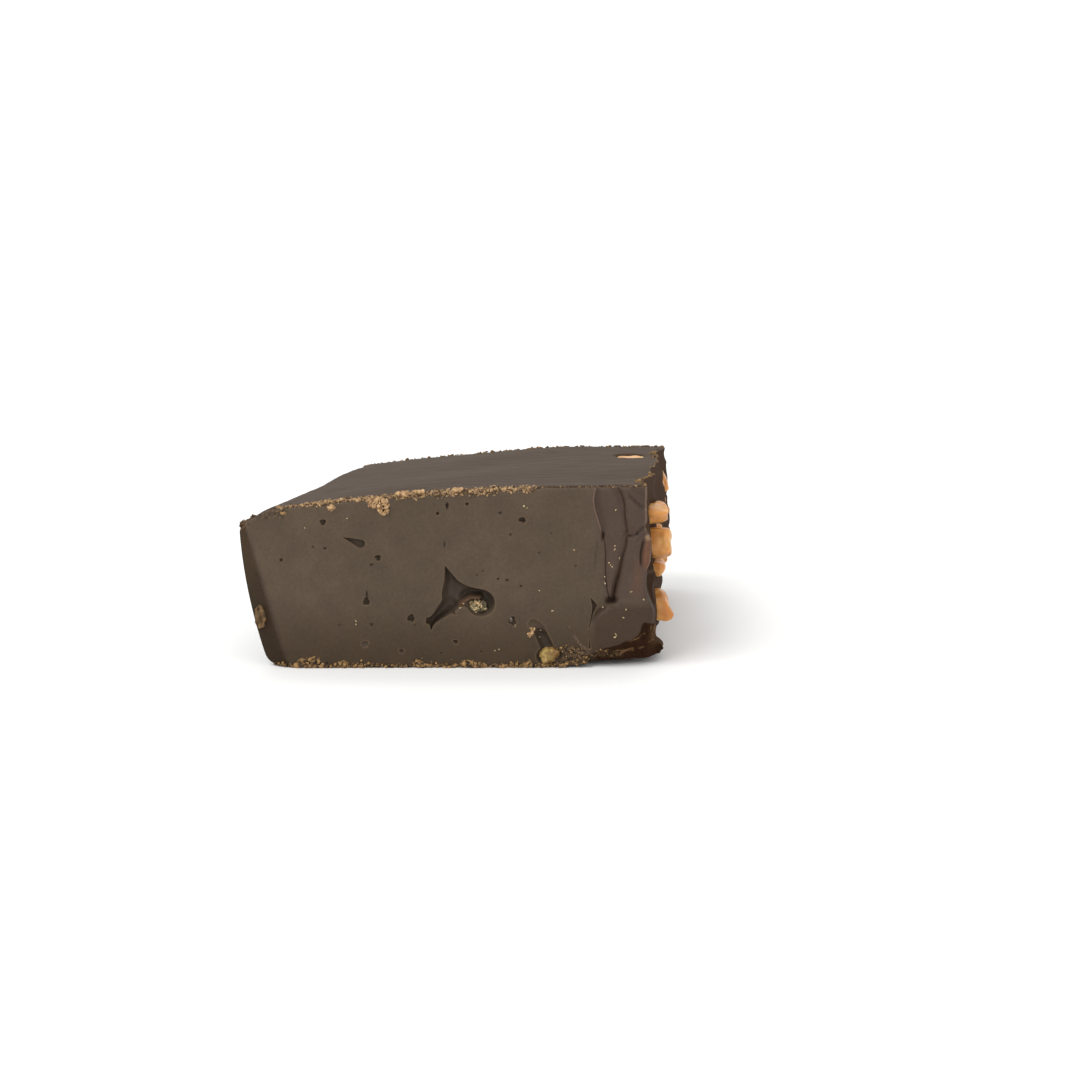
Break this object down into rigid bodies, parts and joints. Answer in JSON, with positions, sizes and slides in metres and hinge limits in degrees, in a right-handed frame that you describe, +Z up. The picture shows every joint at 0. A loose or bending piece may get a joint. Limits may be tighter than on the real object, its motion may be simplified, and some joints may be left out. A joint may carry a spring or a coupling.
{
  "type": "slice of chocolate fudge",
  "caption": "Slice of chocolate fudge lying on a knife cut, with an air void, folded skin, a torn corner, caramel pieces set in its poured side and nut pieces in its front.",
  "frame": {"origin": "centre of the outline, on the surface that the slice lies on", "axes": "+X towards the poured side that holds the caramel pieces, +Y from the cast side with the large void to the far side, +Z up"},
  "size_m": [0.0632, 0.0608, 0.0255],
  "materials": {
    "fudge": "matte chocolate fudge",
    "caramel": "soft sheen, slightly translucent caramel",
    "nut": "dry nut kernel"
  },
  "bodies": {
    "root": {"fudge": "fudge", "caramel_01": "caramel", "caramel_02": "caramel", "caramel_03": "caramel", "caramel_04": "caramel", "caramel_05": "caramel", "caramel_06": "caramel", "caramel_07": "caramel", "caramel_08": "caramel", "caramel_09": "caramel", "caramel_10": "caramel", "caramel_11": "caramel", "caramel_12": "caramel", "caramel_top": "caramel", "nut_edge": "nut", "nut_void": "nut"}
  },
  "joints": []
}
